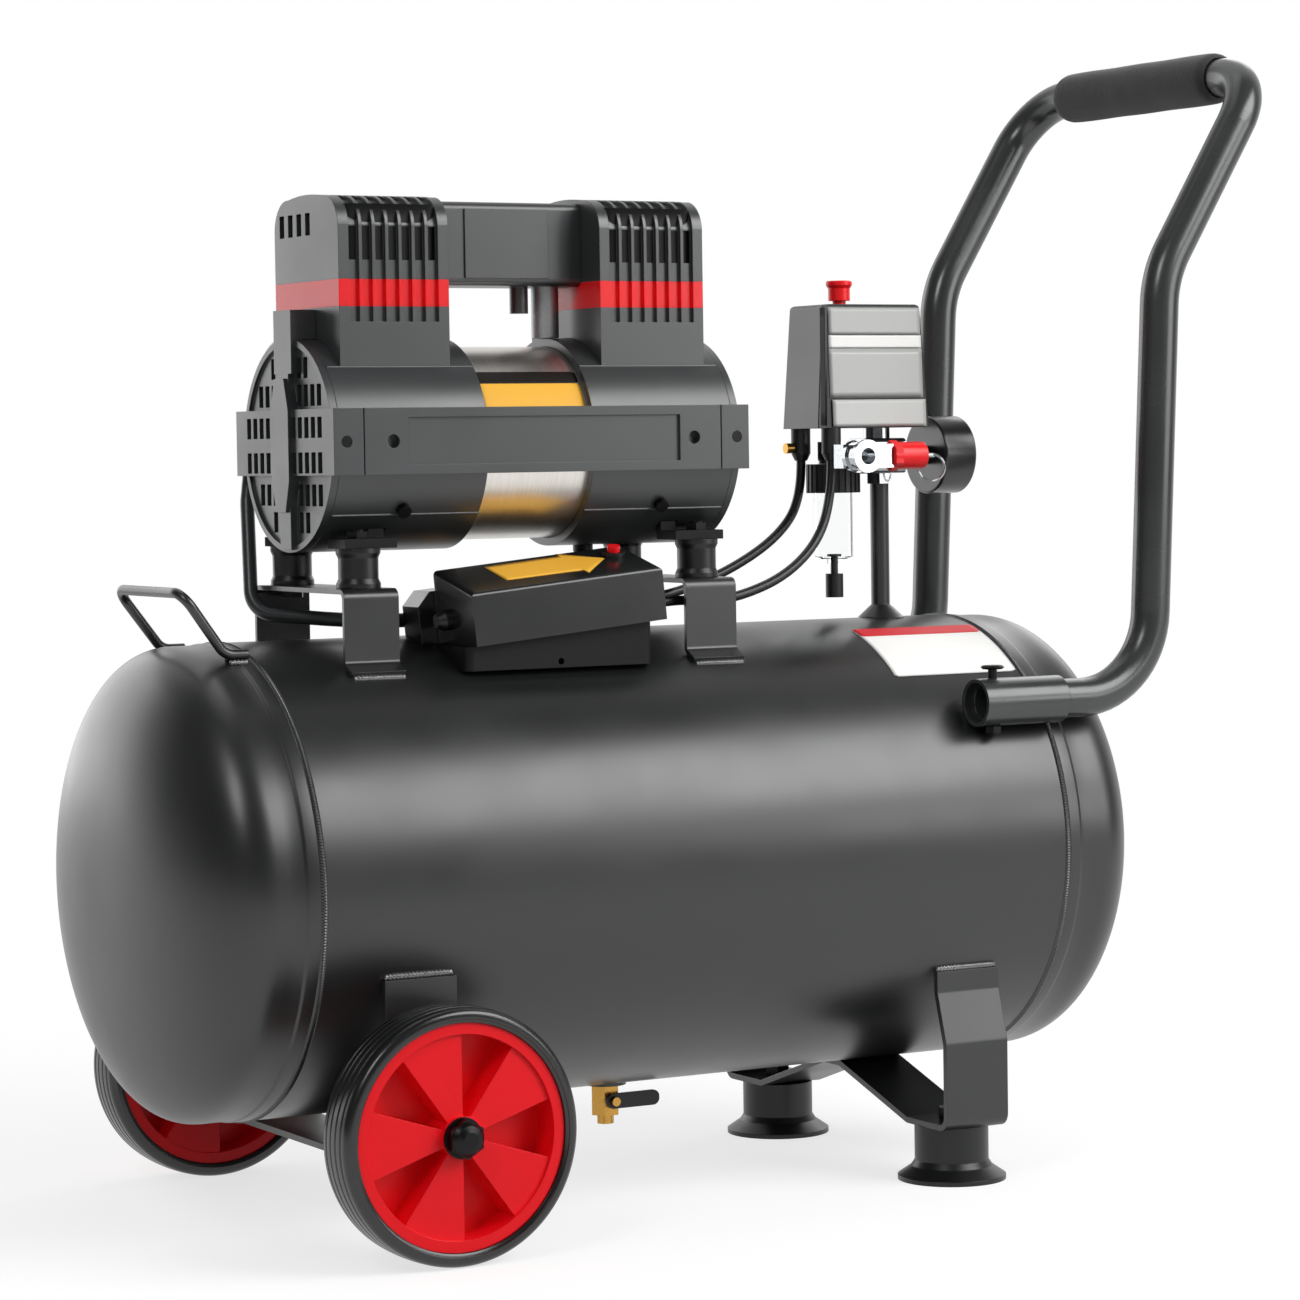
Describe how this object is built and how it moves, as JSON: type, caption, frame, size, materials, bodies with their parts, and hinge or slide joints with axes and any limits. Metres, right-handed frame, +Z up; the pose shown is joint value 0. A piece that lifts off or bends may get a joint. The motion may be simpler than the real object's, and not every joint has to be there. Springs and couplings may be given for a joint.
{
  "type": "portable air compressor",
  "caption": "Portable oil-free air compressor: horizontal steel tank on wheels and rubber feet, twin-cylinder electric pump, pressure switch, gauge and tubular handle.",
  "frame": {"origin": "on the floor, under the middle of the bounding box", "axes": "+Z up, +X along the tank from the wheel end to the handle end, +Y across towards the right wheel"},
  "size_m": [0.8166, 0.4186, 0.7528],
  "materials": {
    "tank_paint": "satin dark charcoal paint",
    "black_paint": "satin black paint on bent steel strap",
    "handle_paint": "glossy dark grey paint",
    "grip_foam": "matt black foam",
    "red_plastic": "red, slight gloss",
    "tyre_rubber": "smooth black rubber",
    "black_rubber": "matt black rubber",
    "grey_plastic": "fine-textured dark grey",
    "black_plastic": "fine-textured black",
    "zinc": "zinc-plated steel",
    "steel": "brushed steel",
    "cast_aluminium": "die-cast aluminium",
    "chrome_plate": "bright nickel-chrome plate",
    "brass": "plain brass",
    "clear_bowl": "clear polycarbonate",
    "clear_lens": "clear acrylic",
    "black_cable": "black PVC sheath",
    "capacitor_case": "off-white can",
    "white_plastic": "white"
  },
  "bodies": {
    "compressor": {"tank_shell": "tank_paint", "tank_domes": "tank_paint", "leg_straps": "black_paint", "frame_bolts": "zinc", "rubber_feet": "black_rubber", "front_handle": "black_paint", "handle_sockets": "handle_paint", "motor_saddles": "tank_paint", "rubber_mounts": "black_rubber", "motor_casing": "steel", "stator": "steel", "crankcases": "cast_aluminium", "shaft_bearings": "steel", "cylinders": "cast_aluminium", "cylinder_heads": "cast_aluminium", "tower_hoods": "grey_plastic", "tower_trims": "red_plastic", "bridge_cover": "grey_plastic", "crossover_pipe": "cast_aluminium", "motor_shrouds": "grey_plastic", "end_grilles": "grey_plastic", "side_plates": "grey_plastic", "cover_screws": "zinc", "box_cover": "black_plastic", "overload_breaker": "black_plastic", "capacitors": "capacitor_case", "box_tray": "black_plastic", "switch_housing": "grey_plastic", "switch_cover": "grey_plastic", "manifold": "chrome_plate", "support_pipe": "black_paint", "outlet_coupling": "chrome_plate", "safety_valve": "red_plastic", "filter_head": "black_plastic", "filter_bowl": "clear_bowl", "gauge_case": "black_plastic", "gauge_lens": "clear_lens", "drain_valve": "brass", "brass_fittings": "brass", "delivery_pipe": "steel", "cable_glands": "black_plastic", "motor_cable": "black_cable", "box_cable": "black_cable"},
    "left_wheel": {"left_wheel_rim": "red_plastic", "left_tyre": "tyre_rubber"},
    "right_wheel": {"right_wheel_rim": "red_plastic", "right_tyre": "tyre_rubber"},
    "handle": {"rear_handle": "handle_paint", "handle_grip": "grip_foam"},
    "knob": {"switch_knob": "red_plastic"},
    "button": {"reset_button": "red_plastic"},
    "valve_ring": {"valve_pull_ring": "chrome_plate"},
    "needle": {"gauge_needle": "red_plastic"},
    "bowl_drain": {"filter_drain_knob": "black_plastic"},
    "tank_drain": {"drain_lever": "black_plastic"},
    "motor_rotor": {"rotor": "steel", "eccentrics": "steel", "cooling_fans": "black_plastic"},
    "front_rod": {"front_piston": "cast_aluminium"},
    "rear_rod": {"rear_piston": "cast_aluminium"}
  },
  "joints": [
    {"name": "left_wheel_spin", "type": "hinge", "parent": "compressor", "child": "left_wheel", "pos_m": [-0.261, -0.1829, 0.0782], "axis": [0, 1, 0], "continuous": true},
    {"name": "right_wheel_spin", "type": "hinge", "parent": "compressor", "child": "right_wheel", "pos_m": [-0.261, 0.1829, 0.0782], "axis": [0, 1, 0], "continuous": true},
    {"name": "handle_slide", "type": "slide", "parent": "compressor", "child": "handle", "axis": [1, 0, 0], "range_m": [0, 0.05]},
    {"name": "on_off_knob", "type": "slide", "parent": "compressor", "child": "knob", "axis": [0, 0, 1], "range_m": [0, 0.007]},
    {"name": "reset_press", "type": "slide", "parent": "compressor", "child": "button", "axis": [0.0911, 0.251, -0.9637], "range_m": [0, 0.003], "stiffness_N_per_m": 300},
    {"name": "relief_pull", "type": "slide", "parent": "compressor", "child": "valve_ring", "axis": [1, 0, 0], "range_m": [0, 0.003], "stiffness_N_per_m": 500},
    {"name": "gauge_sweep", "type": "hinge", "parent": "compressor", "child": "needle", "pos_m": [0.221, 0, 0.4786], "axis": [1, 0, 0], "range_deg": [0, 270], "stiffness_Nm_per_rad": 0.002},
    {"name": "bowl_drain_press", "type": "slide", "parent": "compressor", "child": "bowl_drain", "axis": [0, 0, 1], "range_m": [0, 0.003], "stiffness_N_per_m": 300},
    {"name": "tank_drain_turn", "type": "hinge", "parent": "compressor", "child": "tank_drain", "pos_m": [-0.056, -0.0116, 0.0563], "axis": [0, 1, 0], "range_deg": [0, 90]},
    {"name": "motor_shaft_spin", "type": "hinge", "parent": "compressor", "child": "motor_rotor", "pos_m": [-0.1308, 0, 0.491], "axis": [1, 0, 0], "continuous": true},
    {"name": "front_rod_pin", "type": "hinge", "parent": "motor_rotor", "child": "front_rod", "pos_m": [-0.2233, 0, 0.498], "axis": [1, 0, 0], "continuous": true},
    {"name": "rear_rod_pin", "type": "hinge", "parent": "motor_rotor", "child": "rear_rod", "pos_m": [-0.0383, 0, 0.484], "axis": [1, 0, 0], "continuous": true}
  ],
  "couplings": [
    {"joint": "front_rod_pin", "follows": "motor_shaft_spin", "ratio": -1},
    {"joint": "rear_rod_pin", "follows": "motor_shaft_spin", "ratio": -1}
  ]
}
